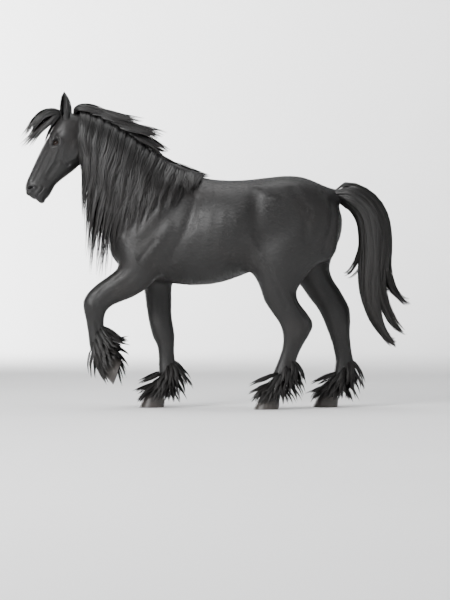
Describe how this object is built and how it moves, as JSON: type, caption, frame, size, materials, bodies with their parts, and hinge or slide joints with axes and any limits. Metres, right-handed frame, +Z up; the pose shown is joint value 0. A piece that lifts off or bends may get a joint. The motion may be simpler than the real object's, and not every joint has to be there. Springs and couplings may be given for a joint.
{
  "type": "friesian horse, still life-size model",
  "caption": "Black heavy-maned riding horse at a walk with one foreleg raised, arched neck, blown forelock and mane, long tail and feathered feet.",
  "frame": {"origin": "the middle of the whole model's box, on the floor that the hooves stand on", "axes": "+Z up; the horse faces -X and its near (left) side faces -Y; +X along its length, +Y across it"},
  "size_m": [2.6664, 0.6242, 2.1775],
  "materials": {
    "coat": "short flat horse coat, near-black with a soft satin gloss",
    "long_hair": "long coarse black hair in locks, satin gloss along each lock",
    "hoof_horn": "dark slate horn with growth rings, dull to satin",
    "eye": "wet dark brown eye, glossy"
  },
  "bodies": {
    "root": {"ear_far": "coat", "ear_near": "coat", "eye_far": "eye", "eye_near": "eye", "fore_far_lower": "coat", "fore_far_upper": "coat", "fore_near_lower": "coat", "fore_near_upper": "coat", "head": "coat", "hind_far_lower": "coat", "hind_far_upper": "coat", "hind_near_lower": "coat", "hind_near_upper": "coat", "hoof_fore_far": "hoof_horn", "hoof_fore_near": "hoof_horn", "hoof_hind_far": "hoof_horn", "hoof_hind_near": "hoof_horn", "neck": "coat", "tail_fall": "long_hair", "tail_root": "long_hair", "torso": "coat"}
  },
  "joints": []
}
